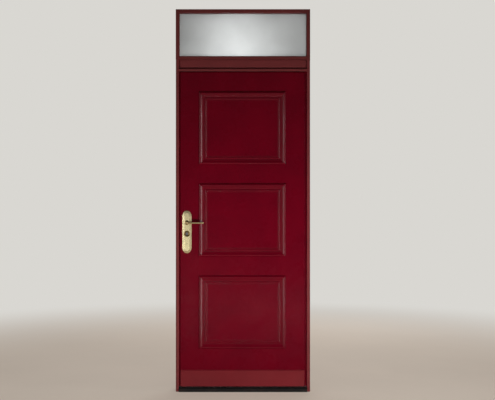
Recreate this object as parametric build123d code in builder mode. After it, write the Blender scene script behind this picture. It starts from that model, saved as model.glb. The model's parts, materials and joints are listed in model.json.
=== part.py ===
from build123d import *
import os

os.makedirs("parts", exist_ok=True)

# A steel security door in its frame, with a fixed light above it.
# Millimetres. X runs right as seen from outside, Y runs into the room, Z up.
# The origin is on the underside of the threshold, in the middle of the opening.

# Whole frame
frame_width = 875.0
frame_height = 2490.0
frame_depth = 100.0
transom_height = 328.0

# Jambs, each a steel box lip on a flat web
steel_gauge = 3.0
lip_face = 20.0
lip_depth = 20.0
lip_bevel = 8.0

# Head of the door opening
head_height = 60.0
header_panel_thick = 14.0
header_panel_gap = 6.5
header_panel_bevel = 2.0
stop_height = 15.0
stop_proud = 2.0
stop_bevel = 2.5
stop_tab_height = 10.0
stop_tab_thick = 4.0

# Threshold
threshold_height = 26.0
threshold_nose = 10.0
threshold_nose_drop = 7.0
threshold_tail = 24.0
threshold_tail_drop = 14.0
groove_count = 4
groove_pitch = 7.0
groove_width = 2.5
groove_deep = 1.5

# Leaf
leaf_side_gap = 9.5
leaf_top_gap = 10.0
leaf_bottom_gap = 6.0
core_thick = 44.0
seal_thick = 5.0
seal_width = 6.0
seal_inset = 1.0
seal_gap = 1.0
facing_thick = 16.0
facing_lock_gap = 8.5
facing_hinge_gap = 15.5
facing_top_gap = 5.0
facing_round = 2.5
inner_facing_thick = 10.0
inner_facing_margin = 25.0
inner_groove_width = 12.0
inner_groove_deep = 3.0

# Kick plate
kick_height = 108.0
kick_thick = 8.0
kick_bevel = 5.0

# Flat margins of the facing, round and between its three panels
stile_width = 122.0
top_rail = 129.0
middle_rail = 124.0
bottom_rail = 248.0
panel_count = 3

# Profile of the panel mouldings, from the outer edge inward, with its levels above the facing
edge_level = 3.0
crest_in = 13.0
crest_level = 14.0
cove_in = 33.0
cove_level = 4.5
cove_hollow = 1.0
quirk_in = 38.0
quirk_level = 2.5
bead_in = 51.0
bead_level = 6.5
fillet_in = 57.0
fillet_level = 1.5

# Lever handles and their plates, on the left as seen from outside
furniture_inset = 44.0
lever_z = 1100.0
plate_width = 60.0
plate_height = 277.0
plate_middle_z = 1039.5
plate_end = 38.0
plate_rim = 2.5
plate_rise = 4.5
plate_bevel = 14.0
neck_radius = 11.5
neck_length = 20.0
collar_radius = 15.0
collar_length = 4.0
lever_length = 111.0
lever_radius = 6.7
lever_elbow = 13.0
lever_root = 6.0
lever_tip_bevel = 2.0
spindle_size = 8.0
spindle_socket = 18.0
spindle_hole_radius = 10.0
furniture_clearance = 0.5

# Lock cylinder with a round nose and a tail, and the plug that the key turns
cylinder_z = 1028.0
cylinder_radius = 8.5
cylinder_proud = 5.0
cylinder_fit = 0.2
tail_width = 10.0
tail_drop = 24.5
plug_radius = 6.5
plug_fit = 0.1
plug_proud = 0.8
key_slot_width = 2.2
key_slot_height = 8.0
key_slot_deep = 20.0
guard_radius = 20.0
guard_height = 7.0
guard_bevel = 3.0

# Bolts, drawn back into the edge of the leaf
faceplate_width = 24.0
faceplate_thick = 3.0
faceplate_above_foot = 208.0
faceplate_below_top = 232.0
bolt_length = 40.0
bolt_fit = 0.3
latch_thick = 14.0
latch_height = 34.0
latch_slope = 8.0
deadbolt_thick = 16.0
deadbolt_height = 52.0
deadbolt_bevel = 1.0
deadbolt_z = 1008.0
pin_bolt_radius = 9.0
pin_bolt_above_foot = 298.0
pin_bolt_below_top = 322.0

# Keeps on the lock jamb
keep_thick = 2.0
keep_width = 36.0
keep_corner = 3.0
keep_margin = 28.0
keep_play = 2.0

# Hinges, on the room side of the right-hand edge
hinge_above_foot = 228.0
hinge_below_top = 232.0
hinge_behind = 14.0
knuckle_radius = 9.0
knuckle_length = 62.0
knuckle_gap = 0.3
knuckle_cap = 5.0
hinge_pin_radius = 6.0
hinge_pin_fit = 0.1
hinge_plate_thick = 4.0
hinge_foot_width = 26.0
hinge_strap_width = 23.0
hinge_neck_width = 10.0

# Holes for the fixings into the wall
anchor_radius = 4.5
anchor_behind = 12.0
anchors_above_floor = (150.0, 720.0)
anchors_below_head = (762.0, 162.0)

# Fixed light
light_face = 24.0
light_wall = 8.0
light_lip = 30.0
light_bevel = 4.0
glass_thick = 12.0
glass_edge_gap = 3.0
glazing_bead_depth = 20.0
glazing_bead_bevel = 5.0

# Faces and levels worked out from the sizes above
front_y = -frame_depth / 2
back_y = frame_depth / 2
outer_x = frame_width / 2
lip_x = outer_x - lip_face
lip_back_y = front_y + lip_depth
web_x = outer_x - steel_gauge
head_top_z = frame_height - transom_height
head_bottom_z = head_top_z - head_height
stop_bottom_z = head_bottom_z - stop_height
core_x = web_x - leaf_side_gap
core_front_y = lip_back_y + seal_thick + seal_gap
core_back_y = core_front_y + core_thick
core_bottom_z = threshold_height + leaf_bottom_gap
core_top_z = head_bottom_z - leaf_top_gap
facing_left = facing_lock_gap - lip_x
facing_right = lip_x - facing_hinge_gap
facing_width = facing_right - facing_left
facing_middle = (facing_left + facing_right) / 2
facing_front_y = core_front_y - facing_thick
facing_top_z = stop_bottom_z - facing_top_gap
inner_face_y = core_back_y + inner_facing_thick
bolt_y = (core_front_y + core_back_y) / 2
plate_thick = plate_rim + plate_rise
hinge_x = lip_x
hinge_y = core_back_y + hinge_behind
lower_hinge_z = core_bottom_z + hinge_above_foot
upper_hinge_z = core_top_z - hinge_below_top
hinge_heights = {
    "lower": lower_hinge_z,
    "middle": (lower_hinge_z + upper_hinge_z) / 2,
    "upper": upper_hinge_z,
}
anchor_y = back_y - anchor_behind
anchor_heights = list(anchors_above_floor) + [head_top_z - drop for drop in anchors_below_head]
furniture_x = facing_left + furniture_inset
faceplate_bottom_z = core_bottom_z + faceplate_above_foot
faceplate_top_z = core_top_z - faceplate_below_top
lower_bolt_z = core_bottom_z + pin_bolt_above_foot
upper_bolt_z = core_top_z - pin_bolt_below_top
panel_width = facing_width - 2 * stile_width
panels_bottom_z = core_bottom_z + bottom_rail
panels_top_z = facing_top_z - top_rail
panel_height = (panels_top_z - panels_bottom_z - (panel_count - 1) * middle_rail) / panel_count
panel_heights = {
    "lower": panels_bottom_z + panel_height / 2,
    "middle": (panels_bottom_z + panels_top_z) / 2,
    "upper": panels_top_z - panel_height / 2,
}
facing_front = Plane.XZ.offset(-facing_front_y)
core_front = Plane.XZ.offset(-core_front_y)
core_back = Plane.XZ.offset(-core_back_y)


def save(part, name):
    part.label = name
    export_step(part, "parts/" + name + ".step")


# Places and sizes of the slots that take the bolts: height, slot height, slot width
latch_slot = (lever_z, latch_height + 2 * keep_play, latch_thick + 2 * keep_play)
deadbolt_slot = (deadbolt_z, deadbolt_height + 2 * keep_play, deadbolt_thick + 2 * keep_play)
pin_slot_size = 2 * (pin_bolt_radius + keep_play)
upper_slot = (upper_bolt_z, pin_slot_size, pin_slot_size)
lower_slot = (lower_bolt_z, pin_slot_size, pin_slot_size)


# Jambs: a box lip with a bevelled outer edge, welded to a flat web along the wall
def make_jamb(side):
    with BuildPart() as jamb:
        with BuildSketch(Plane.XY):
            with BuildLine():
                Polyline(
                    (outer_x, lip_back_y),
                    (outer_x, front_y + lip_bevel),
                    (outer_x - lip_bevel, front_y),
                    (lip_x, front_y),
                    (lip_x, lip_back_y),
                    close=True,
                )
            make_face()
            offset(amount=-steel_gauge, kind=Kind.INTERSECTION, mode=Mode.SUBTRACT)
            if side < 0:
                mirror(about=Plane.YZ, mode=Mode.REPLACE)
        extrude(amount=head_top_z)
    return jamb.part


def make_jamb_web(side, slots):
    wall_face = Plane(origin=(side * outer_x, 0, 0), x_dir=(0, side, 0), z_dir=(side, 0, 0))
    with BuildPart() as web:
        with BuildSketch(wall_face):
            with Locations((side * (lip_back_y + back_y) / 2, head_top_z / 2)):
                Rectangle(back_y - lip_back_y, head_top_z)
            with Locations([(side * anchor_y, z) for z in anchor_heights]):
                Circle(anchor_radius, mode=Mode.SUBTRACT)
            for slot_z, slot_height, slot_width in slots:
                with Locations((side * bolt_y, slot_z)):
                    Rectangle(slot_width, slot_height, mode=Mode.SUBTRACT)
        extrude(amount=-steel_gauge)
    return web.part


save(make_jamb(1), "hinge_jamb")
save(make_jamb_web(1, []), "hinge_jamb_web")
save(make_jamb(-1), "lock_jamb")
save(make_jamb_web(-1, [latch_slot, deadbolt_slot, upper_slot, lower_slot]), "lock_jamb_web")


# Frame head: a channel, open upward, between the webs of the jambs
with BuildPart() as frame_head:
    with BuildSketch(Plane.YZ.offset(-web_x)):
        with BuildLine():
            Polyline(
                (lip_back_y, head_top_z),
                (lip_back_y, head_bottom_z),
                (back_y, head_bottom_z),
                (back_y, head_top_z),
            )
            offset(amount=steel_gauge, side=Side.LEFT, kind=Kind.INTERSECTION)
        make_face()
    extrude(amount=2 * web_x)
save(frame_head.part, "frame_head")


# Panel that covers the head, with a shadow gap at both ends and below
with BuildPart() as header_panel:
    panel_bottom_z = head_bottom_z + stop_tab_height
    with BuildSketch(Plane.XZ.offset(-lip_back_y)):
        with Locations((0, (panel_bottom_z + head_top_z) / 2)):
            Rectangle(2 * (lip_x - header_panel_gap), head_top_z - panel_bottom_z)
    extrude(amount=header_panel_thick)
    front_face = header_panel.faces().sort_by(Axis.Y)[0]
    chamfer(front_face.edges(), header_panel_bevel)
save(header_panel.part, "header_panel")


# Head stop: the strip that the top of the leaf closes against
with BuildPart() as head_stop:
    with BuildSketch(Plane.YZ.offset(-lip_x)):
        with BuildLine():
            Polyline(
                (lip_back_y, stop_bottom_z),
                (lip_back_y, head_bottom_z + stop_tab_height),
                (lip_back_y - stop_tab_thick, head_bottom_z + stop_tab_height),
                (lip_back_y - stop_tab_thick, head_bottom_z),
                (front_y - stop_proud, head_bottom_z),
                (front_y - stop_proud, stop_bottom_z),
                close=True,
            )
        make_face()
    extrude(amount=2 * lip_x)
    chamfer(head_stop.faces().sort_by(Axis.Y)[0].edges().filter_by(Axis.X), stop_bevel)
save(head_stop.part, "head_stop")


# Threshold: ribbed nose outside, flat under the leaf, sloping down into the room
with BuildPart() as threshold:
    nose_y = front_y - threshold_nose
    with BuildSketch(Plane.YZ.offset(-web_x)):
        with BuildLine():
            Polyline(
                (nose_y, 0),
                (nose_y, threshold_height - threshold_nose_drop),
                (nose_y + threshold_nose_drop, threshold_height),
                (back_y - threshold_tail, threshold_height),
                (back_y, threshold_height - threshold_tail_drop),
                (back_y, 0),
                close=True,
            )
        make_face()
        groove_middle = (nose_y + threshold_nose_drop + facing_front_y) / 2
        with Locations((groove_middle, threshold_height)):
            with GridLocations(groove_pitch, 1, groove_count, 1):
                Rectangle(groove_width, 2 * groove_deep, mode=Mode.SUBTRACT)
    extrude(amount=2 * web_x)
    with BuildSketch(Plane.XY):
        with Locations(*[(s * (lip_x + web_x) / 2, (nose_y + lip_back_y) / 2) for s in (-1, 1)]):
            Rectangle(web_x - lip_x, lip_back_y - nose_y)
    extrude(amount=threshold_height, mode=Mode.SUBTRACT)
save(threshold.part, "threshold")


# Seals behind the lips and the head stop, which the leaf closes on
seal_x = lip_x + seal_inset + seal_width / 2
with BuildPart() as side_seals:
    with BuildSketch(Plane.XZ.offset(-lip_back_y)):
        seal_middle_z = (threshold_height + head_bottom_z) / 2
        with Locations((-seal_x, seal_middle_z), (seal_x, seal_middle_z)):
            Rectangle(seal_width, head_bottom_z - threshold_height)
    extrude(amount=-seal_thick)
save(side_seals.part, "side_seals")

with BuildPart() as head_seal:
    with BuildSketch(Plane.XZ.offset(-lip_back_y)):
        with Locations((0, stop_bottom_z + seal_width / 2)):
            Rectangle(2 * lip_x, seal_width)
    extrude(amount=-seal_thick)
save(head_seal.part, "head_seal")


# Keeps: plates on the lock jamb, with a slot for each bolt
with BuildPart() as keeps:
    with BuildSketch(Plane.YZ.offset(-web_x)):
        for slots in ([latch_slot, deadbolt_slot], [upper_slot], [lower_slot]):
            low_z = min(z - height / 2 for z, height, width in slots) - keep_margin
            high_z = max(z + height / 2 for z, height, width in slots) + keep_margin
            with Locations((bolt_y, (low_z + high_z) / 2)):
                RectangleRounded(keep_width, high_z - low_z, keep_corner)
            for slot_z, slot_height, slot_width in slots:
                with Locations((bolt_y, slot_z)):
                    Rectangle(slot_width, slot_height, mode=Mode.SUBTRACT)
    extrude(amount=keep_thick)
save(keeps.part, "keeps")


# Bars of the fixed light, with mitred ends, laid round a rectangle
def make_bar(start, along, inward, length, outline):
    """outline holds points (distance inward, depth) of the bar's section."""
    with BuildPart() as bar:
        with BuildSketch(Plane(origin=start, x_dir=inward, z_dir=along)):
            with BuildLine():
                Polyline(*outline, close=True)
            make_face()
        extrude(amount=length)
        end = Vector(start) + Vector(along) * length
        split(bisect_by=Plane(origin=start, z_dir=Vector(along) - Vector(inward)))
        split(bisect_by=Plane(origin=end, z_dir=-Vector(along) - Vector(inward)))
    return bar.part


def save_bars(half_width, low_z, high_z, outline, names):
    width = 2 * half_width
    height = high_z - low_z
    right, up = Vector(1, 0, 0), Vector(0, 0, 1)
    corners = [
        (-half_width, 0, high_z),
        (half_width, 0, high_z),
        (half_width, 0, low_z),
        (-half_width, 0, low_z),
    ]
    runs = [(right, -up, width), (-up, -right, height), (-right, up, width), (up, right, height)]
    for corner, (along, inward, length), name in zip(corners, runs, names):
        save(make_bar(corner, along, inward, length, outline), name)


light_section = [
    (0, front_y),
    (light_face - light_bevel, front_y),
    (light_face, front_y + light_bevel),
    (light_face, front_y + light_lip),
    (light_wall, front_y + light_lip),
    (light_wall, back_y),
    (0, back_y),
]
light_names = ["transom_head", "transom_right_stile", "transom_sill", "transom_left_stile"]
save_bars(outer_x, head_top_z, frame_height, light_section, light_names)

glass_front_y = front_y + light_lip
glass_back_y = glass_front_y + glass_thick
with BuildPart() as transom_glass:
    glass_edge = light_wall + glass_edge_gap
    with BuildSketch(Plane.XZ.offset(-glass_front_y)):
        with Locations((0, (head_top_z + frame_height) / 2)):
            Rectangle(2 * (outer_x - glass_edge), transom_height - 2 * glass_edge)
    extrude(amount=-glass_thick)
save(transom_glass.part, "transom_glass")

bead_width = light_face - light_wall
bead_section = [
    (0, glass_back_y),
    (bead_width, glass_back_y),
    (bead_width, glass_back_y + glazing_bead_depth - glazing_bead_bevel),
    (bead_width - glazing_bead_bevel, glass_back_y + glazing_bead_depth),
    (0, glass_back_y + glazing_bead_depth),
]
bead_names = ["top_glazing_bead", "right_glazing_bead", "bottom_glazing_bead", "left_glazing_bead"]
bead_low_z = head_top_z + light_wall
bead_high_z = frame_height - light_wall
save_bars(outer_x - light_wall, bead_low_z, bead_high_z, bead_section, bead_names)


# Leaf core: the insulated steel box, with its lock edge and through holes
with BuildPart() as leaf_core:
    with BuildSketch(core_front):
        with Locations((0, (core_bottom_z + core_top_z) / 2)):
            Rectangle(2 * core_x, core_top_z - core_bottom_z)
    extrude(amount=-core_thick)
    with BuildSketch(core_front):
        with Locations((furniture_x, lever_z)):
            Circle(spindle_hole_radius)
        with Locations((furniture_x, cylinder_z)):
            Circle(cylinder_radius + cylinder_fit)
        with Locations((furniture_x, cylinder_z - tail_drop / 2)):
            Rectangle(tail_width + 2 * cylinder_fit, tail_drop + 2 * cylinder_fit)
    extrude(amount=-core_thick, mode=Mode.SUBTRACT)
    lock_edge = Plane.YZ.offset(-core_x)
    with BuildSketch(lock_edge):
        with Locations((bolt_y, (faceplate_bottom_z + faceplate_top_z) / 2)):
            Rectangle(faceplate_width, faceplate_top_z - faceplate_bottom_z)
    extrude(amount=faceplate_thick, mode=Mode.SUBTRACT)
    with BuildSketch(lock_edge):
        with Locations((bolt_y, lever_z)):
            Rectangle(latch_thick + 2 * bolt_fit, latch_height + 2 * bolt_fit)
        with Locations((bolt_y, deadbolt_z)):
            Rectangle(deadbolt_thick + 2 * bolt_fit, deadbolt_height + 2 * bolt_fit)
        with Locations((bolt_y, upper_bolt_z), (bolt_y, lower_bolt_z)):
            Circle(pin_bolt_radius + bolt_fit)
    extrude(amount=bolt_length, mode=Mode.SUBTRACT)
save(leaf_core.part, "leaf_core")


# Outer facing: the flat painted sheet that carries the mouldings
with BuildPart() as outer_facing:
    with BuildSketch(core_front):
        with Locations((facing_middle, (core_bottom_z + facing_top_z) / 2)):
            Rectangle(facing_width, facing_top_z - core_bottom_z)
    extrude(amount=facing_thick)
    fillet(outer_facing.faces().sort_by(Axis.Y)[0].edges(), facing_round)
    with BuildSketch(core_front):
        with Locations((furniture_x, lever_z)):
            Circle(spindle_hole_radius)
        with Locations((furniture_x, cylinder_z)):
            Circle(cylinder_radius + cylinder_fit)
    extrude(amount=facing_thick, mode=Mode.SUBTRACT)
save(outer_facing.part, "outer_facing")


# Inner facing: a flat sheet that repeats the three panels as grooves
inner_facing_front = Plane.XZ.offset(-inner_face_y)
with BuildPart() as inner_facing:
    inner_bottom_z = core_bottom_z + inner_facing_margin
    inner_top_z = core_top_z - inner_facing_margin
    with BuildSketch(core_back):
        with Locations((0, (inner_bottom_z + inner_top_z) / 2)):
            Rectangle(2 * (core_x - inner_facing_margin), inner_top_z - inner_bottom_z)
    extrude(amount=-inner_facing_thick)
    fillet(inner_facing.faces().sort_by(Axis.Y)[-1].edges(), facing_round)
    with BuildSketch(core_back):
        with Locations((furniture_x, lever_z)):
            Circle(spindle_hole_radius)
        with Locations((furniture_x, cylinder_z)):
            Circle(cylinder_radius + cylinder_fit)
    extrude(amount=-inner_facing_thick, mode=Mode.SUBTRACT)
    with BuildSketch(inner_facing_front):
        with Locations(*[(0, z) for z in panel_heights.values()]):
            Rectangle(panel_width, panel_height)
            Rectangle(
                panel_width - 2 * inner_groove_width,
                panel_height - 2 * inner_groove_width,
                mode=Mode.SUBTRACT,
            )
    extrude(amount=inner_groove_deep, mode=Mode.SUBTRACT)
save(inner_facing.part, "inner_facing")


# Kick plate across the foot of the leaf
with BuildPart() as kick_plate:
    with BuildSketch(facing_front):
        with Locations((facing_middle, core_bottom_z + kick_height / 2)):
            Rectangle(facing_width, kick_height)
    extrude(amount=kick_thick)
    chamfer(kick_plate.faces().sort_by(Axis.Y)[0].edges(), kick_bevel)
save(kick_plate.part, "kick_plate")


# Mouldings: a raised profile swept round each panel, with mitred corners
def make_moulding(middle_z):
    left_x = facing_middle - panel_width / 2
    right_x = facing_middle + panel_width / 2
    with BuildPart() as moulding:
        with BuildLine(facing_front):
            Polyline(
                (left_x, middle_z),
                (left_x, middle_z + panel_height / 2),
                (right_x, middle_z + panel_height / 2),
                (right_x, middle_z - panel_height / 2),
                (left_x, middle_z - panel_height / 2),
                close=True,
            )
        start = (left_x, facing_front_y, middle_z)
        with BuildSketch(Plane(origin=start, x_dir=(1, 0, 0), z_dir=(0, 0, 1))):
            with BuildLine():
                foot = Polyline((fillet_in, 0), (0, 0), (0, -edge_level))
                crest = TangentArc(foot @ 1, (crest_in, -crest_level), tangent=(0, -1))
                cove_middle_level = (crest_level + cove_level) / 2 - cove_hollow
                cove = ThreePointArc(
                    crest @ 1,
                    ((crest_in + cove_in) / 2, -cove_middle_level),
                    (cove_in, -cove_level),
                )
                quirk = Polyline(cove @ 1, (cove_in, -quirk_level), (quirk_in, -quirk_level))
                bead = ThreePointArc(
                    quirk @ 1,
                    ((quirk_in + bead_in) / 2, -bead_level),
                    (bead_in, -quirk_level),
                )
                Polyline(bead @ 1, (bead_in, -fillet_level), (fillet_in, -fillet_level), foot @ 0)
            make_face()
        sweep(transition=Transition.RIGHT)
    return moulding.part


for place, middle_z in panel_heights.items():
    save(make_moulding(middle_z), place + "_moulding")


# Lock faceplate along the edge of the leaf, pierced for the bolts
with BuildPart() as lock_faceplate:
    with BuildSketch(lock_edge):
        with Locations((bolt_y, (faceplate_bottom_z + faceplate_top_z) / 2)):
            Rectangle(faceplate_width, faceplate_top_z - faceplate_bottom_z)
        with Locations((bolt_y, lever_z)):
            Rectangle(latch_thick + 2 * bolt_fit, latch_height + 2 * bolt_fit, mode=Mode.SUBTRACT)
        with Locations((bolt_y, deadbolt_z)):
            Rectangle(deadbolt_thick + 2 * bolt_fit, deadbolt_height + 2 * bolt_fit, mode=Mode.SUBTRACT)
        with Locations((bolt_y, upper_bolt_z), (bolt_y, lower_bolt_z)):
            Circle(pin_bolt_radius + bolt_fit, mode=Mode.SUBTRACT)
    extrude(amount=faceplate_thick)
save(lock_faceplate.part, "lock_faceplate")

with BuildPart() as latch_bolt:
    with BuildSketch(lock_edge):
        with Locations((bolt_y, lever_z)):
            Rectangle(latch_thick, latch_height)
    extrude(amount=bolt_length)
    nose = latch_bolt.faces().sort_by(Axis.X)[0].edges().sort_by(Axis.Y)[0]
    chamfer(nose, latch_slope)
save(latch_bolt.part, "latch_bolt")

with BuildPart() as deadbolts:
    with BuildSketch(lock_edge):
        with Locations((bolt_y, deadbolt_z)):
            Rectangle(deadbolt_thick, deadbolt_height)
        with Locations((bolt_y, upper_bolt_z), (bolt_y, lower_bolt_z)):
            Circle(pin_bolt_radius)
    extrude(amount=bolt_length)
    chamfer(deadbolts.faces().group_by(Axis.X)[0].edges(), deadbolt_bevel)
save(deadbolts.part, "deadbolts")


# Door furniture is drawn once for the outside, and turned round for the inside.
# Each make function takes the face it stands on and the way out of that face.
def furniture_plane(face_y, out, z):
    """At the furniture's line, with X right, and the normal pointing out of the leaf."""
    return Plane(origin=(furniture_x, face_y, z), x_dir=(1, 0, 0), z_dir=(0, out, 0))


def make_backplate(face_y, out):
    up = -out
    with BuildPart() as backplate:
        with BuildSketch(furniture_plane(face_y, out, plate_middle_z)):
            Rectangle(plate_width, plate_height - 2 * plate_end)
            with Locations((0, plate_height / 2 - plate_end), (0, plate_end - plate_height / 2)):
                Ellipse(plate_width / 2, plate_end)
        extrude(amount=plate_thick)
        raised_face = backplate.faces().sort_by(Axis.Y, reverse=out > 0)[0]
        chamfer(raised_face.edges(), plate_bevel, plate_rise, reference=raised_face)
        with BuildSketch(furniture_plane(face_y, out, plate_middle_z)):
            with Locations((0, up * (lever_z - plate_middle_z))):
                Circle(neck_radius + furniture_clearance)
            with Locations((0, up * (cylinder_z - plate_middle_z))):
                Circle(cylinder_radius + cylinder_fit)
        extrude(amount=plate_thick, mode=Mode.SUBTRACT)
    return backplate.part


save(make_backplate(facing_front_y, -1), "outer_backplate")
save(make_backplate(inner_face_y, 1), "inner_backplate")


# Guard ring round the nose of the cylinder
def make_guard(face_y, out):
    base = (furniture_x, face_y + out * plate_thick, cylinder_z)
    bore = cylinder_radius + cylinder_fit
    with BuildPart() as guard:
        with BuildSketch(Plane(origin=base, x_dir=(1, 0, 0), z_dir=(0, 0, out))):
            with BuildLine():
                Polyline(
                    (bore, 0),
                    (guard_radius, 0),
                    (guard_radius, guard_height - guard_bevel),
                    (guard_radius - guard_bevel, guard_height),
                    (bore, guard_height),
                    close=True,
                )
            make_face()
        revolve(axis=Axis(base, (0, 1, 0)))
    return guard.part


save(make_guard(facing_front_y, -1), "cylinder_guard")
save(make_guard(inner_face_y, 1), "inner_cylinder_guard")


# Lock cylinder: a round nose right through the leaf, with its tail inside the core
cylinder_front_y = facing_front_y - plate_thick - cylinder_proud
cylinder_back_y = inner_face_y + plate_thick + cylinder_proud
cylinder_front = Plane.XZ.offset(-cylinder_front_y)
with BuildPart() as lock_cylinder:
    with BuildSketch(cylinder_front):
        with Locations((furniture_x, cylinder_z)):
            Circle(cylinder_radius)
    extrude(amount=cylinder_front_y - cylinder_back_y)
    with BuildSketch(core_front):
        with Locations((furniture_x, cylinder_z - tail_drop / 2)):
            Rectangle(tail_width, tail_drop)
    extrude(amount=-core_thick)
    with BuildSketch(cylinder_front):
        with Locations((furniture_x, cylinder_z)):
            Circle(plug_radius + plug_fit)
    extrude(amount=cylinder_front_y - cylinder_back_y, mode=Mode.SUBTRACT)
save(lock_cylinder.part, "lock_cylinder")


# Plug that the key turns, slotted at both ends
with BuildPart() as key_plug:
    plug_front_y = cylinder_front_y - plug_proud
    plug_back_y = cylinder_back_y + plug_proud
    with BuildSketch(Plane.XZ.offset(-plug_front_y)):
        with Locations((furniture_x, cylinder_z)):
            Circle(plug_radius)
    extrude(amount=plug_front_y - plug_back_y)
    for end_y, out in ((plug_front_y, -1), (plug_back_y, 1)):
        with BuildSketch(furniture_plane(end_y, out, cylinder_z)):
            Rectangle(key_slot_width, key_slot_height)
        extrude(amount=-key_slot_deep, mode=Mode.SUBTRACT)
save(key_plug.part, "key_plug")


# Lever handle: a collar and neck, then a round arm that turns at a cut-off elbow and runs to the right
def make_lever(face_y, out):
    base_y = face_y + out * furniture_clearance
    collar_y = face_y + out * (plate_thick + furniture_clearance)
    neck_end_y = collar_y + out * (collar_length + neck_length)
    arm_y = neck_end_y + out * (lever_elbow - lever_radius)
    with BuildPart() as lever:
        with BuildSketch(furniture_plane(base_y, out, lever_z)):
            Circle(neck_radius)
        extrude(amount=abs(neck_end_y - base_y))
        with BuildSketch(furniture_plane(collar_y, out, lever_z)):
            Circle(collar_radius)
        extrude(amount=collar_length)
        elbow_y = arm_y - out * lever_elbow
        with BuildLine():
            arm = Polyline(
                (furniture_x, elbow_y - out * lever_root, lever_z),
                (furniture_x, elbow_y, lever_z),
                (furniture_x + lever_elbow, arm_y, lever_z),
                (furniture_x + lever_length, arm_y, lever_z),
            )
        with BuildSketch(furniture_plane((arm @ 0).Y, out, lever_z)):
            Circle(lever_radius)
        sweep(transition=Transition.RIGHT)
        chamfer(lever.faces().sort_by(Axis.X)[-1].edges(), lever_tip_bevel)
        with BuildSketch(furniture_plane(base_y, out, lever_z)):
            Rectangle(spindle_size, spindle_size)
        extrude(amount=spindle_socket, mode=Mode.SUBTRACT)
    return lever.part


save(make_lever(facing_front_y, -1), "outer_lever")
save(make_lever(inner_face_y, 1), "inner_lever")


# Square spindle that joins the two levers
with BuildPart() as spindle:
    spindle_front_y = facing_front_y - furniture_clearance - spindle_socket
    spindle_back_y = inner_face_y + furniture_clearance + spindle_socket
    with BuildSketch(Plane.XZ.offset(-spindle_front_y)):
        with Locations((furniture_x, lever_z)):
            Rectangle(spindle_size, spindle_size)
    extrude(amount=spindle_front_y - spindle_back_y)
save(spindle.part, "spindle")


# Hinges: the frame half carries the pin, and the leaf half drops over it
def make_frame_hinge(z):
    foot_x = web_x - hinge_plate_thick
    with BuildPart() as frame_hinge:
        with BuildSketch(Plane.XY.offset(z)):
            with Locations((hinge_x, hinge_y)):
                Circle(knuckle_radius)
            with Locations(((hinge_x + web_x) / 2, hinge_y + knuckle_radius - hinge_plate_thick / 2)):
                Rectangle(web_x - hinge_x, hinge_plate_thick)
            with Locations(((foot_x + web_x) / 2, hinge_y)):
                Rectangle(hinge_plate_thick, hinge_foot_width)
        extrude(amount=-knuckle_length)
        with BuildSketch(Plane.XY.offset(z)):
            with Locations((hinge_x, hinge_y)):
                Circle(hinge_pin_radius)
        extrude(amount=knuckle_length - knuckle_cap)
    return frame_hinge.part


def make_leaf_hinge(z):
    with BuildPart() as leaf_hinge:
        with BuildSketch(Plane.XY.offset(z + knuckle_gap)):
            with Locations((hinge_x, hinge_y)):
                Circle(knuckle_radius)
            with Locations((hinge_x, (core_back_y + hinge_y) / 2)):
                Rectangle(hinge_neck_width, hinge_y - core_back_y)
            strap_middle_x = core_x - hinge_strap_width / 2
            with Locations((strap_middle_x, core_back_y + hinge_plate_thick / 2)):
                Rectangle(hinge_strap_width, hinge_plate_thick)
        extrude(amount=knuckle_length)
        with BuildSketch(Plane.XY.offset(z + knuckle_gap)):
            with Locations((hinge_x, hinge_y)):
                Circle(hinge_pin_radius + hinge_pin_fit)
        extrude(amount=knuckle_length - knuckle_cap, mode=Mode.SUBTRACT)
    return leaf_hinge.part


for place, z in hinge_heights.items():
    save(make_frame_hinge(z), place + "_frame_hinge")
    save(make_leaf_hinge(z), place + "_leaf_hinge")
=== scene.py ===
import bpy
import bmesh
import json
import math
from mathutils import Matrix, Vector


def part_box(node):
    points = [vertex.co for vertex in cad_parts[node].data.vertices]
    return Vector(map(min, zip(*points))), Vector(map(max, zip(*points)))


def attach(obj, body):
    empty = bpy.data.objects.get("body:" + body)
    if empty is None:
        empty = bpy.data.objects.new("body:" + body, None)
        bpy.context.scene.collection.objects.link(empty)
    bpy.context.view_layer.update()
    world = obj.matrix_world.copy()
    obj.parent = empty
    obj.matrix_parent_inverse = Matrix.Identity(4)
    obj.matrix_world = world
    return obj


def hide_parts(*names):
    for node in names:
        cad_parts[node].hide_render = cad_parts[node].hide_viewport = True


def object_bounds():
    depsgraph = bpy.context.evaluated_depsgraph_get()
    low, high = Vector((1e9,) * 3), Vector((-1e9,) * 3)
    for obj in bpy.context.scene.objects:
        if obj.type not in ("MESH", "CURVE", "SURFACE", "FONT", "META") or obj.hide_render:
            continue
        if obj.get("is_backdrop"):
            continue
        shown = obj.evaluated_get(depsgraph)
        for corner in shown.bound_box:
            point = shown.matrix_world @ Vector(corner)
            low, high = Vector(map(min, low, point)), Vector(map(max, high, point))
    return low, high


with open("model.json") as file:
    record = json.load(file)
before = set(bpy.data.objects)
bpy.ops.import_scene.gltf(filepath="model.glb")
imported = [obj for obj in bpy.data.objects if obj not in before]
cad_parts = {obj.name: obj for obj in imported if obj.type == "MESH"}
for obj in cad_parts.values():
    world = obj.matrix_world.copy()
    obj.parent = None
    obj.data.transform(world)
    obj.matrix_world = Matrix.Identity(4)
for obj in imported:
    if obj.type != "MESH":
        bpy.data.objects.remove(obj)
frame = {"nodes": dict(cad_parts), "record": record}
cad_low, cad_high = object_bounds()
nodes = frame["nodes"]


# Lengths in metres and colours as 0 to 255 sRGB values

# Camera, about level with the middle of the door
CAMERA_PLACE = (0.0296, -5.55, 1.248)
CAMERA_LENS = 61.45
SENSOR_WIDTH = 36.0

# Studio
WALL_COLOUR = (217, 215, 210)
FRONT_COLOUR = (158, 156, 153)
CEILING_COLOUR = (16, 16, 18)
FLOOR_COLOUR = (196, 184, 172)
FLOOR_SIZE = 40.0
SKY_LIGHT = 0.27

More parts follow.
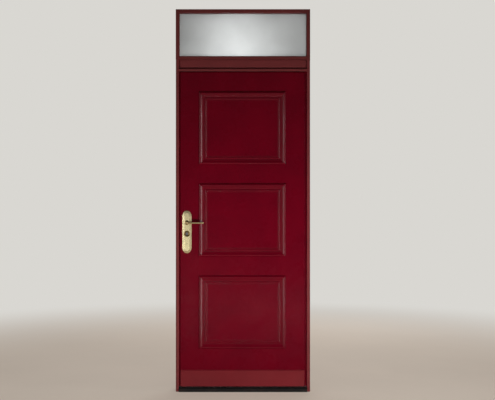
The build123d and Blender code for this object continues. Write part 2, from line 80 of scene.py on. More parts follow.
# The floor turns into the wall's colour between these distances, and glows a little before them
FLOOR_FADE = (1.9, 5.0)
FLOOR_GLOW = 0.46

# Side lamps: side, place of the strip, its power and the power of the wash. Spreads are in degrees
SIDE_LAMPS = (
    (-1, (-1.86, -1.12, 1.06), 15, 3),
    (1, (1.7, -1.2, 1.06), 23, 6),
)
STRIP_SIZE = (0.32, 2.1)
STRIP_TARGET = (0.0, 0.0, 1.06)
WASH_ACROSS = 3.2
WASH_SIZE = (0.8, 2.2)
WASH_SPREAD = 90
LOW_SPREAD = 100

# Paint and metal colours
LEAF_COLOUR = (92, 0, 18)
KICK_COLOUR = (108, 28, 34)
FRAME_COLOUR = (108, 44, 45)
LIGHT_BAR_COLOUR = (101, 44, 43)
HINGE_COLOUR = (84, 26, 30)
# Pale brown of grime and scuffs, which on the paints also lays a painted floor sheen toward the foot
DUST_AND_SHEEN_COLOUR = (128, 90, 84)
BRASS_COLOUR = (228, 214, 168)
POLISHED_COLOUR = (190, 170, 128)
BRONZE_COLOUR = (120, 100, 62)
STEEL_COLOUR = (122, 122, 126)
BLACK_COLOUR = (13, 12, 12)
WORN_BLACK_COLOUR = (84, 82, 80)
RUBBER_COLOUR = (34, 33, 33)
RUBBER_DARK_COLOUR = (26, 25, 25)
RUBBER_BLOOM_COLOUR = (62, 60, 59)
GLASS_COLOUR = (164, 166, 166)

# What brass, bronze and steel tarnish to
BRASS_TARNISH = (150, 128, 84)
POLISHED_TARNISH = (168, 146, 100)
BRONZE_TARNISH = (58, 46, 30)
STEEL_TARNISH = (104, 100, 95)

# Form of a screw head, as shares of its radius, and of its height for the profile's levels
SCREW_RIM = 32
SCREW_HEIGHT = 0.34
SCREW_RECESS = 0.42
SCREW_ARM = 0.60
SCREW_SLOT = 0.13
SCREW_FLOOR = 0.7
SCREW_PROFILE = ((1.0, 0.0), (1.0, 0.12), (0.96, 0.42), (0.86, 0.74), (0.74, 0.95))
SCREW_TURN = 0.7

# Where the screws stand: a radius, how far in from an edge or end, and shares along a length.
# A keep's span is from its lower to its upper end
STRAP_SCREW_RADIUS = 0.0038
STRAP_SCREW_IN = 0.0165
STRAP_SCREW_SHARES = (0.2, 0.5, 0.8)
FOOT_SCREW_SHARES = (0.2, 0.8)
HINGE_PLATE = 0.004
FOOT_SCREW_IN = 0.018
KEEP_SCREW_RADIUS = 0.0036
KEEP_SCREW_IN = 0.013
KEEP_SPANS = ((0.291, 0.369), (0.952, 1.147), (1.731, 1.809))
PLATE_SCREW_RADIUS = 0.0040
BACKPLATE_SCREW_IN = 0.022
OUTER_SCREW_Z = 0.962
ANCHOR_HEAD_RADIUS = 0.0072
ANCHOR_IN = 0.012
ANCHOR_HEIGHTS = (0.15, 0.72, 1.4, 2.0)
SILL_SCREW_Y = 0.005
SILL_SCREW_SHARES = (-0.72, 0.0, 0.72)

# Lever handles. The collar's profile holds a radius and a distance out from the lever's foot.
# The waists and the tip are shares of the arm's radius, or powers that shape the change
LEVER_SIDES = 40
COLLAR_PROFILE = (
    (0.0110, 0.0),
    (0.0110, 0.0070),
    (0.0138, 0.0070),
    (0.0150, 0.0078),
    (0.0150, 0.0098),
    (0.0136, 0.0108),
    (0.0116, 0.0116),
)
NECK_RADIUS = 0.0110
NECK_START = 0.0120
NECK_WAIST = 0.8
NECK_BEND = 0.0130
ARM_RADIUS = 0.0073
ARM_WAIST = 0.07
ARM_WAIST_POWER = 1.5
ARM_FLATTEN = 0.94
TIP_LENGTH = 0.8
TIP_FULLNESS = 0.75
TIP_CLOSE = 0.97
NECK_STEPS = 8
BEND_STEPS = 12
ARM_STEPS = 20
TIP_STEPS = 7
LEVER_SMOOTH_ANGLE = 50

# Guard rings. The profile holds shares of the ring's radius and height, from the bore round the rim
GUARD_SIDES = 72
GUARD_PROFILE = (
    (0.435, 0.0),
    (1.0, 0.0),
    (1.0, 0.30),
    (0.985, 0.50),
    (0.94, 0.74),
    (0.87, 0.92),
    (0.79, 1.0),
    (0.71, 0.97),
    (0.65, 0.86),
    (0.58, 0.72),
    (0.50, 0.66),
    (0.435, 0.64),
)

# Seals: width and depth, then the foot's height and the bulb's form as shares of these
SEAL_SIZE = (0.006, 0.005)
SEAL_STEPS = 10
SEAL_FOOT = 0.35
BULB_HALF_WIDTH = 0.46
BULB_CENTRE = 0.45
BULB_HEIGHT = 0.52


def linear(colour):
    """An sRGB colour as the linear colour that a shader takes."""
    shares = [c / 255 for c in colour]
    return tuple(s / 12.92 if s <= 0.04045 else ((s + 0.055) / 1.055) ** 2.4 for s in shares) + (1.0,)


# Material tools
class Finish:
    """A node material with one Principled shader, and short calls for what feeds it."""

    def __init__(self, name, colour, roughness, metallic=0.0, specular=0.5):
        self.material = bpy.data.materials.new(name)
        self.material.use_nodes = True
        self.tree = self.material.node_tree
        self.shader = self.tree.nodes["Principled BSDF"]
        self.set("Base Color", linear(colour))
        self.set("Roughness", roughness)
        self.set("Metallic", metallic)
        self.set("Specular IOR Level", specular)
        self.place = self.node("ShaderNodeTexCoord").outputs["Object"]

    def node(self, kind, **settings):
        made = self.tree.nodes.new(kind)
        for key, value in settings.items():
            setattr(made, key, value)
        return made

    def link(self, output, target):
        self.tree.links.new(output, target)

    def set(self, socket, value):
        self.shader.inputs[socket].default_value = value

    def feed(self, socket, output):
        self.link(output, self.shader.inputs[socket])

    def stretched(self, stretch):
        """The place on the object in metres, stretched along each axis."""
        mapping = self.node("ShaderNodeMapping")
        mapping.inputs["Scale"].default_value = stretch
        self.link(self.place, mapping.inputs["Vector"])
        return mapping.outputs["Vector"]

    def noise(self, scale, detail=3.0, roughness=0.55, stretch=None):
        """Noise from 0 to 1 over the object, finer as the scale grows."""
        made = self.node("ShaderNodeTexNoise")
        made.inputs["Scale"].default_value = scale
        made.inputs["Detail"].default_value = detail
        made.inputs["Roughness"].default_value = roughness
        self.link(self.stretched(stretch) if stretch else self.place, made.inputs["Vector"])
        return made.outputs["Fac"]

    def along(self, axis):
        """How far along an axis of the object, in metres."""
        split = self.node("ShaderNodeSeparateXYZ")
        self.link(self.place, split.inputs["Vector"])
        return split.outputs[axis]

    def ranged(self, value, from_low, from_high, to_low, to_high):
        """A value eased from one range over to another."""
        made = self.node("ShaderNodeMapRange")
        made.interpolation_type = "SMOOTHSTEP"
        made.inputs["From Min"].default_value = from_low
        made.inputs["From Max"].default_value = from_high
        made.inputs["To Min"].default_value = to_low
        made.inputs["To Max"].default_value = to_high
        self.link(value, made.inputs["Value"])
        return made.outputs["Result"]

    def combined(self, operation, first, second):
        """One sum of two values, each a number or an output."""
        made = self.node("ShaderNodeMath", operation=operation)
        for index, value in enumerate((first, second)):
            if isinstance(value, (int, float)):
                made.inputs[index].default_value = value
            else:
                self.link(value, made.inputs[index])
        return made.outputs["Value"]

    def mixed(self, share, first, second):
        """Mixes two colours, each an sRGB triple or an output."""
        made = self.node("ShaderNodeMix", data_type="RGBA")
        self.link(share, made.inputs["Factor"])
        for socket, value in ((made.inputs[6], first), (made.inputs[7], second)):
            if isinstance(value, tuple):
                socket.default_value = linear(value)
            else:
                self.link(value, socket)
        return made.outputs[2]

    def bumps(self, *layers):
        """Each layer is a height output and the depth of that relief in metres."""
        normal = None
        for height, depth in layers:
            bump = self.node("ShaderNodeBump")
            bump.inputs["Strength"].default_value = 1.0
            bump.inputs["Distance"].default_value = depth
            self.link(height, bump.inputs["Height"])
            if normal:
                self.link(normal, bump.inputs["Normal"])
            normal = bump.outputs["Normal"]
        self.feed("Normal", normal)


def shade(colour, amount):
    """A colour made darker or lighter, kept between 0 and 255."""
    return tuple(max(0, min(255, c * amount)) for c in colour)


def make_paint(name, colour, roughness, specular, dust_and_sheen, scuffs, foot):
    """Sprayed paint: mottled, with a fine orange peel, and a paler brownish tint toward the foot that is
    partly grime and partly a painted sheen of the floor.
    """
    finish = Finish(name, colour, roughness, specular=specular)
    mottle = finish.ranged(finish.noise(5.0, detail=5.0), 0.3, 0.7, 0.0, 1.0)
    colour_now = finish.mixed(mottle, shade(colour, 0.955), shade(colour, 1.04))
    # Paler and browner toward the foot: partly grime, partly a painted sheen of the floor's reflection
    low_down = finish.ranged(finish.along("Z"), 0.0, foot, 1.0, 0.0)
    clouds = finish.noise(9.0, detail=6.0, roughness=0.65, stretch=(1, 1, 0.4))
    patchy = finish.ranged(clouds, 0.25, 0.75, 0.5, 1.0)
    dust_and_sheen_share = finish.combined("MULTIPLY", finish.combined("MULTIPLY", low_down, patchy), dust_and_sheen)
    colour_now = finish.mixed(dust_and_sheen_share, colour_now, DUST_AND_SHEEN_COLOUR)
    if scuffs:
        streaks = finish.noise(60.0, detail=4.0, roughness=0.7, stretch=(0.12, 1, 1.6))
        marks = finish.combined("MULTIPLY", finish.ranged(streaks, 0.62, 0.72, 0.0, scuffs), low_down)
        colour_now = finish.mixed(marks, colour_now, DUST_AND_SHEEN_COLOUR)
    finish.feed("Base Color", colour_now)
    worn = finish.ranged(finish.noise(14.0, detail=6.0), 0.3, 0.7, roughness - 0.05, roughness + 0.07)
    finish.feed("Roughness", worn)
    finish.bumps((finish.noise(4.0, detail=1.0), 0.0002), (finish.noise(850.0, detail=1.0), 0.00003))
    return finish.material


def make_brushed(name, colour, roughness, stretch, tarnish, tarnish_share, relief):
    """Metal with fine brushed lines, and tarnish in patches."""
    finish = Finish(name, colour, roughness, metallic=1.0)
    spots = finish.ranged(finish.noise(38.0, detail=7.0, roughness=0.65), 0.45, 0.75, 0.0, tarnish_share)
    lines = finish.noise(700.0, detail=2.0, roughness=0.6, stretch=stretch)
    grain = finish.ranged(lines, 0.3, 0.7, 0.0, 1.0)
    colour_now = finish.mixed(grain, shade(colour, 0.965), colour)
    finish.feed("Base Color", finish.mixed(spots, colour_now, tarnish))
    finish.feed("Roughness", finish.ranged(lines, 0.25, 0.75, roughness - 0.03, roughness + 0.05))
    finish.bumps((lines, relief))
    return finish.material


def make_polished(name, colour, roughness, tarnish):
    """Polished metal, with faint handling marks and a slightly dull skin in places."""
    finish = Finish(name, colour, roughness, metallic=1.0)
    dull = finish.ranged(finish.noise(45.0, detail=6.0, roughness=0.6), 0.5, 0.8, 0.0, 0.45)
    finish.feed("Base Color", finish.mixed(dull, colour, tarnish))
    smears = finish.noise(120.0, detail=4.0, stretch=(0.4, 1, 1))
    finish.feed("Roughness", finish.ranged(smears, 0.3, 0.75, roughness, roughness + 0.12))
    finish.bumps((finish.noise(180.0, detail=2.0), 0.00002))
    return finish.material


def make_black_aluminium():
    """Dark anodised strip, scratched and dirty where feet pass."""
    finish = Finish("black_aluminium", BLACK_COLOUR, 0.45, specular=0.25)
    scratches = finish.noise(90.0, detail=5.0, roughness=0.7, stretch=(1, 0.15, 1))
    worn = finish.ranged(scratches, 0.62, 0.78, 0.0, 0.35)
    dust_and_sheen = finish.ranged(finish.noise(22.0, detail=6.0), 0.45, 0.85, 0.0, 0.07)
    colour_now = finish.mixed(worn, BLACK_COLOUR, WORN_BLACK_COLOUR)
    finish.feed("Base Color", finish.mixed(dust_and_sheen, colour_now, DUST_AND_SHEEN_COLOUR))
    finish.feed("Roughness", finish.ranged(scratches, 0.3, 0.7, 0.34, 0.58))
    finish.bumps((scratches, 0.00003))
    return finish.material


def make_rubber():
    """Dull rubber with a pale bloom in patches."""
    finish = Finish("seal_rubber", RUBBER_COLOUR, 0.8, specular=0.25)
    bloom = finish.ranged(finish.noise(70.0, detail=5.0), 0.4, 0.75, 0.0, 0.35)
    finish.feed("Base Color", finish.mixed(bloom, RUBBER_DARK_COLOUR, RUBBER_BLOOM_COLOUR))
    finish.feed("Roughness", finish.ranged(finish.noise(140.0), 0.3, 0.7, 0.72, 0.9))
    finish.bumps((finish.noise(900.0, detail=2.0), 0.00004))
    return finish.material


def make_frosted_glass():
    """Laminated glass with a milky film between its sheets."""
    finish = Finish("frosted_glass", GLASS_COLOUR, 0.62, specular=0.2)
    finish.set("Transmission Weight", 0.6)
    finish.set("IOR", 1.45)
    film = finish.ranged(finish.noise(6.0, detail=4.0), 0.3, 0.7, 0.0, 1.0)
    finish.feed("Base Color", finish.mixed(film, shade(GLASS_COLOUR, 0.965), shade(GLASS_COLOUR, 1.02)))
    grain = finish.noise(1400.0, detail=2.0)
    finish.feed("Roughness", finish.ranged(grain, 0.3, 0.7, 0.55, 0.72))
    finish.bumps((grain, 0.00003))
    return finish.material


# Paints: name, colour, roughness, specular, the share of grime and painted floor sheen toward the foot,
# scuffs and the height that this tint reaches
PAINTS = (
    ("leaf_paint", LEAF_COLOUR, 0.28, 0.06, 0.004, 0.0, 0.4),
    ("moulding_paint", LEAF_COLOUR, 0.20, 0.17, 0.004, 0.0, 0.4),
    ("kick_paint", KICK_COLOUR, 0.34, 0.08, 0.05, 0.2, 0.3),
    ("frame_paint", FRAME_COLOUR, 0.34, 0.12, 0.03, 0.0, 0.8),
    ("transom_paint", LIGHT_BAR_COLOUR, 0.36, 0.10, 0.1, 0.0, 0.9),
    ("hinge_paint", HINGE_COLOUR, 0.45, 0.2, 0.15, 0.0, 0.9),
)

# Brushed metals: name, colour, roughness, stretch of the lines, tarnish, its share and the relief
BRUSHED_METALS = (
    ("brass_plate", BRASS_COLOUR, 0.26, (1, 1, 0.04), BRASS_TARNISH, 0.1, 0.000002),
    ("bronze", BRONZE_COLOUR, 0.36, (1, 1, 0.2), BRONZE_TARNISH, 0.7, 0.00001),
    ("steel", STEEL_COLOUR, 0.3, (1, 1, 0.12), STEEL_TARNISH, 0.4, 0.00001),
)

materials = {
    "black_aluminium": make_black_aluminium(),
    "seal_rubber": make_rubber(),
    "frosted_glass": make_frosted_glass(),
    "polished_brass": make_polished("polished_brass", POLISHED_COLOUR, 0.07, POLISHED_TARNISH),
}
for settings in PAINTS:
    materials[settings[0]] = make_paint(*settings)
for settings in BRUSHED_METALS:
    materials[settings[0]] = make_brushed(*settings)

# The mouldings take a glossier coat of the leaf's paint, so that their slopes catch the side strips
for part in frame["record"]["subparts"]:
    slot = "moulding_paint" if part["node"].endswith("_moulding") else part["material_slot"]
    mesh = nodes[part["node"]].data
    mesh.materials.clear()
    mesh.materials.append(materials[slot])


# Mesh tools
def finish_piece(name, builder, slot, body, smooth_angle=35):
    """Turns a finished mesh into a piece that has a slot and moves with a body."""
    bmesh.ops.recalc_face_normals(builder, faces=builder.faces)
    mesh = bpy.data.meshes.new(name)
    builder.to_mesh(mesh)
    builder.free()
    piece = bpy.data.objects.new(name, mesh)
    bpy.context.scene.collection.objects.link(piece)
    mesh.materials.append(materials[slot])
    for face in mesh.polygons:
        face.use_smooth = True
    mesh.set_sharp_from_angle(angle=math.radians(smooth_angle))
    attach(piece, body)
    return piece


def facing(place, out, turn=0.0):
    """A stand at place whose Z points out."""
    aim = Vector(out).to_track_quat("Z", "Y").to_matrix().to_4x4()
    return Matrix.Translation(place) @ aim @ Matrix.Rotation(turn, 4, "Z")


def add_ring(builder, stand, radius, level, count):
    """A round of corners about the stand's Z."""
    angles = [2 * math.pi * i / count for i in range(count)]
    spots = [(radius * math.cos(a), radius * math.sin(a), level) for a in angles]
    return [builder.verts.new(stand @ Vector(spot)) for spot in spots]


def join_rings(builder, lower, upper):
    """Faces between two rounds that have equally many corners."""
    count = len(lower)
    for i in range(count):
        after = (i + 1) % count
        builder.faces.new((lower[i], lower[after], upper[after], upper[i]))


def add_turned(builder, stand, profile, count, closed=False):
    """Turns a profile of (radius, level) points round the stand's Z. A closed profile makes a ring."""
    rings = [add_ring(builder, stand, radius, level, count) for radius, level in profile]
    for lower, upper in zip(rings, rings[1:]):
        join_rings(builder, lower, upper)
    if closed:
        join_rings(builder, rings[-1], rings[0])
    return rings


def add_screw(builder, place, out, radius, turn):
    """A raised countersunk head with a cross recess, standing at place and facing out."""
    height = radius * SCREW_HEIGHT
    recess = radius * SCREW_RECESS
    arm = radius * SCREW_ARM
    slot = radius * SCREW_SLOT
    stand = facing(place, out, turn)

    def cross(level, size):
        quarter = [(arm * size, -slot), (arm * size, slot), (slot, slot)]
        quarters = [Matrix.Rotation(math.pi / 2 * i, 2) for i in range(4)]
        spots = [turned @ Vector(spot) for turned in quarters for spot in quarter]
        return [builder.verts.new(stand @ Vector((spot.x, spot.y, level))) for spot in spots]

    profile = [(radius * across, height * level) for across, level in SCREW_PROFILE]
    rings = add_turned(builder, stand, profile, SCREW_RIM)
    mouth = cross(height, 1.0)
    floor = cross(height - recess, SCREW_FLOOR)
    count = len(mouth)
    edges = [builder.edges.new((mouth[i], mouth[(i + 1) % count])) for i in range(count)]
    rim = rings[-1]
    edges += [builder.edges.get((rim[i], rim[(i + 1) % SCREW_RIM])) for i in range(SCREW_RIM)]
    bmesh.ops.bridge_loops(builder, edges=edges)
    join_rings(builder, floor, mouth)
    builder.faces.new(floor)
    builder.faces.new(rings[0])


def make_screws(name, spots, radius, slot, body):
    """spots holds a place and the way out for each screw."""
    builder = bmesh.new()
    for index, (place, out) in enumerate(spots):
        add_screw(builder, Vector(place), out, radius, turn=SCREW_TURN * index)
    finish_piece(name, builder, slot, body)


def between(low, high, share):
    return low + (high - low) * share


# Screws of the hinges: through each strap on the leaf, and through each foot on the frame
core_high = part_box("leaf_core")[1]
foot_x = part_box("hinge_jamb_web")[0].x - HINGE_PLATE
strap_spots = []
foot_spots = []
for place in ("lower", "middle", "upper"):
    low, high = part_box(place + "_leaf_hinge")
    for share in STRAP_SCREW_SHARES:
        spot = (core_high.x - STRAP_SCREW_IN, core_high.y + HINGE_PLATE, between(low.z, high.z, share))
        strap_spots.append((spot, (0, 1, 0)))
    foot_low_z = low.z - (high.z - low.z)
    foot_high_z = low.z
    foot_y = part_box(place + "_frame_hinge")[1].y - FOOT_SCREW_IN
    for share in FOOT_SCREW_SHARES:
        spot = (foot_x, foot_y, between(foot_low_z, foot_high_z, share))
        foot_spots.append((spot, (-1, 0, 0)))
make_screws("hinge_strap_screws", strap_spots, STRAP_SCREW_RADIUS, "steel", "leaf")
make_screws("hinge_foot_screws", foot_spots, STRAP_SCREW_RADIUS, "steel", "frame")


# Screws of the keeps, the faceplate, the inner backplate and the frame's fixings
keep_low, keep_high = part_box("keeps")
keep_middle_y = (keep_low.y + keep_high.y) / 2
keep_spots = []
for low_z, high_z in KEEP_SPANS:
    for z in (low_z + KEEP_SCREW_IN, high_z - KEEP_SCREW_IN):
        keep_spots.append(((keep_high.x, keep_middle_y, z), (1, 0, 0)))
make_screws("keep_screws", keep_spots, KEEP_SCREW_RADIUS, "steel", "frame")

plate_low, plate_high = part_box("lock_faceplate")
plate_middle_y = (plate_low.y + plate_high.y) / 2
plate_ends = (plate_low.z + KEEP_SCREW_IN, plate_high.z - KEEP_SCREW_IN)
plate_spots = [((plate_low.x, plate_middle_y, z), (-1, 0, 0)) for z in plate_ends]
make_screws("faceplate_screws", plate_spots, PLATE_SCREW_RADIUS, "steel", "leaf")

inner_low, inner_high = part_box("inner_backplate")
inner_x = (inner_low.x + inner_high.x) / 2
inner_ends = (inner_low.z + BACKPLATE_SCREW_IN, inner_high.z - BACKPLATE_SCREW_IN)
inner_spots = [((inner_x, inner_high.y, z), (0, 1, 0)) for z in inner_ends]
make_screws("inner_backplate_screws", inner_spots, PLATE_SCREW_RADIUS, "brass_plate", "leaf")

outer_low, outer_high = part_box("outer_backplate")
outer_spots = [(((outer_low.x + outer_high.x) / 2, outer_low.y, OUTER_SCREW_Z), (0, -1, 0))]
make_screws("outer_backplate_screw", outer_spots, PLATE_SCREW_RADIUS, "brass_plate", "leaf")

anchor_spots = []
for web, out in (("hinge_jamb_web", -1), ("lock_jamb_web", 1)):
    low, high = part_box(web)
    web_x = low.x if out < 0 else high.x
    for z in ANCHOR_HEIGHTS:
        anchor_spots.append(((web_x, high.y - ANCHOR_IN, z), (out, 0, 0)))
make_screws("anchor_screw_heads", anchor_spots, ANCHOR_HEAD_RADIUS, "steel", "frame")

nose_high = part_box("threshold")[1]
sill_spots = [
    ((share * nose_high.x, SILL_SCREW_Y, nose_high.z), (0, 0, 1)) for share in SILL_SCREW_SHARES
]
make_screws("threshold_screws", sill_spots, STRAP_SCREW_RADIUS, "steel", "frame")


# Lever handles: a collar, a waisted neck, a bend and an arm with a rounded tip
def make_lever(name, node, out):
    low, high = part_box(node)
    middle_z = (low.z + high.z) / 2
    axis_x = low.x + (high.z - low.z) / 2
    base_y = high.y if out < 0 else low.y
    outward = Vector((0, out, 0))
    along = Vector((1, 0, 0))
    neck_top = high.y - low.y - ARM_RADIUS - NECK_BEND

    # Each ring is a place, the way it faces, its radius and how much it is flattened
    rings = []
    for radius, depth in COLLAR_PROFILE:
        rings.append((Vector((axis_x, base_y + out * depth, middle_z)), outward, radius, 1.0))
    for step in range(1, NECK_STEPS + 1):
        share = step / NECK_STEPS
        radius = between(NECK_RADIUS, ARM_RADIUS, math.sin(share * math.pi / 2) ** NECK_WAIST)
        depth = between(NECK_START, neck_top, share)
        rings.append((Vector((axis_x, base_y + out * depth, middle_z)), outward, radius, 1.0))
    for step in range(1, BEND_STEPS + 1):
        angle = math.pi / 2 * step / BEND_STEPS
        place = Vector((
            axis_x + NECK_BEND * (1 - math.cos(angle)),
            base_y + out * (neck_top + NECK_BEND * math.sin(angle)),
            middle_z,
        ))
        rings.append((place, outward * math.cos(angle) + along * math.sin(angle), ARM_RADIUS, 1.0))
    arm_y = base_y + out * (neck_top + NECK_BEND)
    arm_start = axis_x + NECK_BEND
    arm_end = high.x - ARM_RADIUS * TIP_LENGTH
    for step in range(1, ARM_STEPS + 1):
        share = step / ARM_STEPS
        radius = ARM_RADIUS * (1.0 - ARM_WAIST * math.sin(share * math.pi) ** ARM_WAIST_POWER)
        place = Vector((between(arm_start, arm_end, share), arm_y, middle_z))
        rings.append((place, along, radius, between(1.0, ARM_FLATTEN, share)))
    for step in range(1, TIP_STEPS + 1):
        angle = math.pi / 2 * step / TIP_STEPS * TIP_CLOSE
        place = Vector((arm_end + ARM_RADIUS * TIP_LENGTH * math.sin(angle), arm_y, middle_z))
        rings.append((place, along, ARM_RADIUS * math.cos(angle) ** TIP_FULLNESS, ARM_FLATTEN))

    builder = bmesh.new()
    up = Vector((0, 0, 1))
    last = None
    for place, way, radius, flatten in rings:
        side = up.cross(way) * flatten
        ring = []
        for i in range(LEVER_SIDES):
            angle = 2 * math.pi * i / LEVER_SIDES
            reach = (side * math.cos(angle) + up * math.sin(angle)) * radius
            ring.append(builder.verts.new(place + reach))
        if last:
            join_rings(builder, last, ring)
        else:
            builder.faces.new(ring)
        last = ring
    builder.faces.new(last)
    piece = finish_piece(name, builder, "polished_brass", "levers", LEVER_SMOOTH_ANGLE)
    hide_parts(node)


# Guard rings: a rolled rim round a dished face
def make_guard(name, node, out):
    low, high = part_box(node)
    radius = (high.z - low.z) / 2
    height = high.y - low.y
    base_y = high.y if out < 0 else low.y
    stand = facing(((low.x + high.x) / 2, base_y, (low.z + high.z) / 2), (0, out, 0))
    profile = [(radius * across, height * level) for across, level in GUARD_PROFILE]
    builder = bmesh.new()
    add_turned(builder, stand, profile, GUARD_SIDES, closed=True)
    piece = finish_piece(name, builder, "bronze", "leaf")
    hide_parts(node)


make_guard("outer_guard_ring", "cylinder_guard", -1)
make_guard("inner_guard_ring", "inner_cylinder_guard", 1)


# Rubber seals: a foot along the frame and a bulb that the leaf presses on
def make_seal(name, spans, node):
    """spans holds the start, the way along, the way across and the length of each strip."""
    width, deep = SEAL_SIZE
    outline = [(-width / 2, 0.0), (-width / 2, deep * SEAL_FOOT)]
    for step in range(SEAL_STEPS + 1):
        angle = math.pi * (1 - step / SEAL_STEPS)
        across = width * BULB_HALF_WIDTH * math.cos(angle)
        outline.append((across, deep * BULB_CENTRE + deep * BULB_HEIGHT * math.sin(angle)))
    outline += [(width / 2, deep * SEAL_FOOT), (width / 2, 0.0)]
    builder = bmesh.new()
    for start, along, across, length in spans:
        start, along, across = Vector(start), Vector(along), Vector(across)
        ends = []
        for distance in (0.0, length):
            end = start + along * distance
            ends.append([builder.verts.new(end + across * x + Vector((0, y, 0))) for x, y in outline])
        join_rings(builder, *ends)
        builder.faces.new(ends[0])
        builder.faces.new(ends[1])
    piece = finish_piece(name, builder, "seal_rubber", "frame")
    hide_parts(node)


low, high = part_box("side_seals")
seal_middle = high.x - SEAL_SIZE[0] / 2
make_seal("side_seal_strips", [
    ((side * seal_middle, low.y, low.z), (0, 0, 1), (1, 0, 0), high.z - low.z) for side in (-1, 1)
], "side_seals")
low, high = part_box("head_seal")
make_seal("head_seal_strip", [
    ((low.x, low.y, (low.z + high.z) / 2), (1, 0, 0), (0, 0, 1), high.x - low.x)
], "head_seal")

make_lever("outer_lever_handle", "outer_lever", -1)
make_lever("inner_lever_handle", "inner_lever", 1)


# Studio: lamps, world and floor
def add_area(name, place, target, size, power):
    """A white lamp that the camera doesn't see, aimed from place at target."""
    data = bpy.data.lights.new(name, "AREA")
    data.shape = "RECTANGLE"
    data.size, data.size_y = size
    data.energy = power
    lamp = bpy.data.objects.new(name, data)
    bpy.context.scene.collection.objects.link(lamp)
    lamp.location = place
    lamp.visible_camera = False
    lamp.rotation_euler = (Vector(target) - Vector(place)).to_track_quat("-Z", "Y").to_euler()
    return lamp


# The main light stands low in front, and no paint or metal mirrors it
low_front = add_area("low_front", (0.5, -2.4, 0.18), (0.1, 0.0, 1.0), (2.4, 0.3), 24.5)
low_front.data.spread = math.radians(LOW_SPREAD)
low_front.visible_glossy = False
add_area("soft_back", (0.8, 3.6, 2.2), (0.0, 0.0, 1.1), (3.0, 2.0), 45)
add_area("light_behind_glass", (-0.045, 0.6, 2.28), (-0.045, -0.02, 2.27), (0.44, 0.6), 4.3)

# The strips show only as reflections, in slopes and rims. The washes show only as soft light
for side, place, power, fill in SIDE_LAMPS:
    strip = add_area("side_strip_%d" % side, place, STRIP_TARGET, STRIP_SIZE, power)
    strip.visible_diffuse = False
    wash_place = (side * WASH_ACROSS, -0.7, 1.2)
    wash = add_area("side_wash_%d" % side, wash_place, (0.0, 0.0, 1.1), WASH_SIZE, fill)
    wash.data.spread = math.radians(WASH_SPREAD)
    wash.visible_glossy = False

# A faint sheen low on the leaf, toward the lock side
low_box = add_area("low_box", (-0.85, -4.4, 0.40), (-0.4, 0.0, 0.9), (0.9, 0.8), 3.6)
low_box.visible_diffuse = False


def make_world():
    """Pale studio. Mirrored or through glass, its front is greyer and its ceiling dark."""
    world = bpy.data.worlds.new("studio")
    bpy.context.scene.world = world
    world.use_nodes = True
    tree = world.node_tree
    back = tree.nodes["Background"]

    def node(kind, *inputs, **settings):
        made = tree.nodes.new(kind)
        for key, value in settings.items():
            setattr(made, key, value)
        for index, value in enumerate(inputs):
            if isinstance(value, (int, float)):
                made.inputs[index].default_value = value
            else:
                tree.links.new(value, made.inputs[index])
        return made

    path = node("ShaderNodeLightPath").outputs
    split = node("ShaderNodeSeparateXYZ", node("ShaderNodeTexCoord").outputs["Generated"])
    glossy = path["Is Glossy Ray"]
    through = path["Is Transmission Ray"]
    mirrored = node("ShaderNodeMath", glossy, through, operation="MAXIMUM").outputs[0]
    colour = linear(WALL_COLOUR)

    # Axis, where on it the tone starts and is full, and the tone
    parts = (("Y", 0.1, -0.7, FRONT_COLOUR), ("Z", 0.45, 0.8, CEILING_COLOUR))
    for axis, start, end, tone in parts:
        share = node("ShaderNodeMapRange", split.outputs[axis], start, end, 0.0, 1.0).outputs[0]
        share = node("ShaderNodeMath", share, mirrored, operation="MULTIPLY").outputs[0]
        mix = node("ShaderNodeMix", share, data_type="RGBA")
        if isinstance(colour, tuple):
            mix.inputs[6].default_value = colour
        else:
            tree.links.new(colour, mix.inputs[6])
        mix.inputs[7].default_value = linear(tone)
        colour = mix.outputs[2]
    tree.links.new(colour, back.inputs["Color"])

    # Where the studio is seen it has its full strength, and it lights the door with less
    shown = node("ShaderNodeMath", path["Is Camera Ray"], mirrored, operation="MAXIMUM")
    strength = node("ShaderNodeMapRange", shown.outputs[0], 0.0, 1.0, SKY_LIGHT, 1.0)
    tree.links.new(strength.outputs[0], back.inputs["Strength"])


make_world()


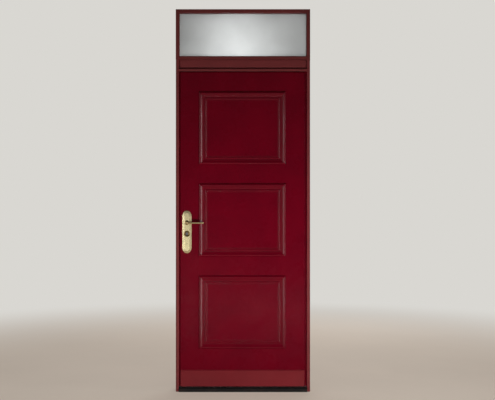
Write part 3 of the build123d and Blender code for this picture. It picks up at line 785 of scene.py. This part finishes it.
def make_floor():
    """Pale floor that turns into the wall's colour some way off, with no line between them."""
    finish = Finish("studio_floor", FLOOR_COLOUR, 0.6, specular=0.0)
    away = finish.node("ShaderNodeVectorMath", operation="LENGTH")
    finish.link(finish.place, away.inputs[0])
    far = finish.ranged(away.outputs["Value"], *FLOOR_FADE, 0.0, 1.0)
    tone = finish.ranged(finish.noise(1.2, detail=4.0), 0.3, 0.7, 0.0, 1.0)
    near_colour = finish.mixed(tone, shade(FLOOR_COLOUR, 0.985), shade(FLOOR_COLOUR, 1.01))
    finish.feed("Base Color", finish.mixed(far, near_colour, (0, 0, 0)))
    finish.feed("Roughness", finish.ranged(finish.noise(30.0), 0.3, 0.7, 0.55, 0.68))
    finish.feed("Emission Color", finish.mixed(far, FLOOR_COLOUR, WALL_COLOUR))
    path = finish.node("ShaderNodeLightPath").outputs
    shown = finish.combined("MAXIMUM", path["Is Camera Ray"], path["Is Glossy Ray"])
    shown = finish.combined("MAXIMUM", shown, path["Is Transmission Ray"])
    glow = finish.ranged(away.outputs["Value"], *FLOOR_FADE, FLOOR_GLOW, 1.0)
    finish.feed("Emission Strength", finish.combined("MULTIPLY", shown, glow))
    builder = bmesh.new()
    bmesh.ops.create_grid(builder, x_segments=4, y_segments=4, size=FLOOR_SIZE / 2)
    mesh = bpy.data.meshes.new("studio_floor")
    builder.to_mesh(mesh)
    builder.free()
    mesh.materials.append(finish.material)
    floor = bpy.data.objects.new("studio_floor", mesh)
    bpy.context.scene.collection.objects.link(floor)
    floor.location = (0, 0, cad_low.z)
    floor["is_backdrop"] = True


make_floor()


# The photo's camera
camera_data = bpy.data.cameras.new("camera")
camera_data.sensor_width = SENSOR_WIDTH
camera_data.lens = CAMERA_LENS
camera = bpy.data.objects.new("camera", camera_data)
bpy.context.scene.collection.objects.link(camera)
camera.location = CAMERA_PLACE
camera.rotation_euler = (math.radians(90), 0, 0)
bpy.context.scene.camera = camera
bpy.context.scene.view_settings.view_transform = "Standard"

# The box of the visual, once every piece is in
low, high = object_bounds()
